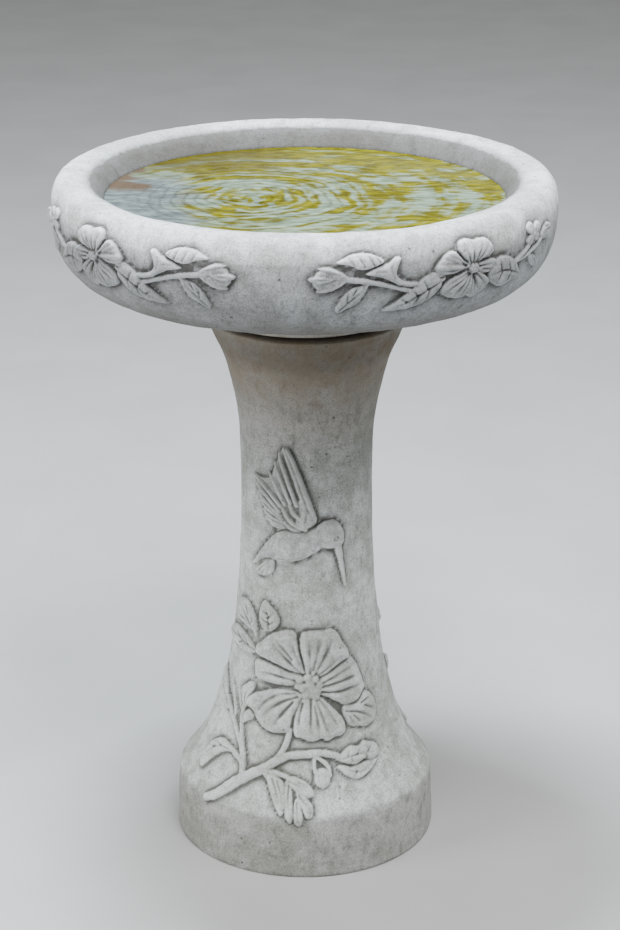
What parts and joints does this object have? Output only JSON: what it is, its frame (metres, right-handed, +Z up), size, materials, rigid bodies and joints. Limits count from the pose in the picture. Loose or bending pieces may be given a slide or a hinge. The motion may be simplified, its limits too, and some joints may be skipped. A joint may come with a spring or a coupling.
{
  "type": "bird bath",
  "caption": "Cast stone bird bath: a shallow dished bowl with raised flower sprays that lifts off a waisted pedestal with a raised bird and flower relief.",
  "frame": {"origin": "on the ground, on the common axis of bowl and pedestal", "axes": "+Z up along the axis of bowl and pedestal; -Y is the front, where one bird and the gap between two sprays face"},
  "size_m": [0.457, 0.464, 0.655],
  "materials": {
    "bowl_stone": "cast stone, pale grey, finely pitted, with a dark wash in the hollows of the relief",
    "pedestal_stone": "cast stone, grey with a faint green and brown weathering",
    "pad_rubber": "matt black"
  },
  "bodies": {
    "pedestal": {"pedestal": "pedestal_stone"},
    "seat_pads": {"seat_pad_1": "pad_rubber", "seat_pad_2": "pad_rubber", "seat_pad_3": "pad_rubber"},
    "bowl": {"bowl": "bowl_stone"}
  },
  "joints": [
    {"name": "bowl_turn", "type": "hinge", "parent": "pedestal", "child": "seat_pads", "pos_m": [0, 0, 0.524], "axis": [0, 0, 1], "continuous": true},
    {"name": "bowl_lift", "type": "slide", "parent": "seat_pads", "child": "bowl", "axis": [0, 0, 1], "range_m": [0, 0.06]}
  ]
}
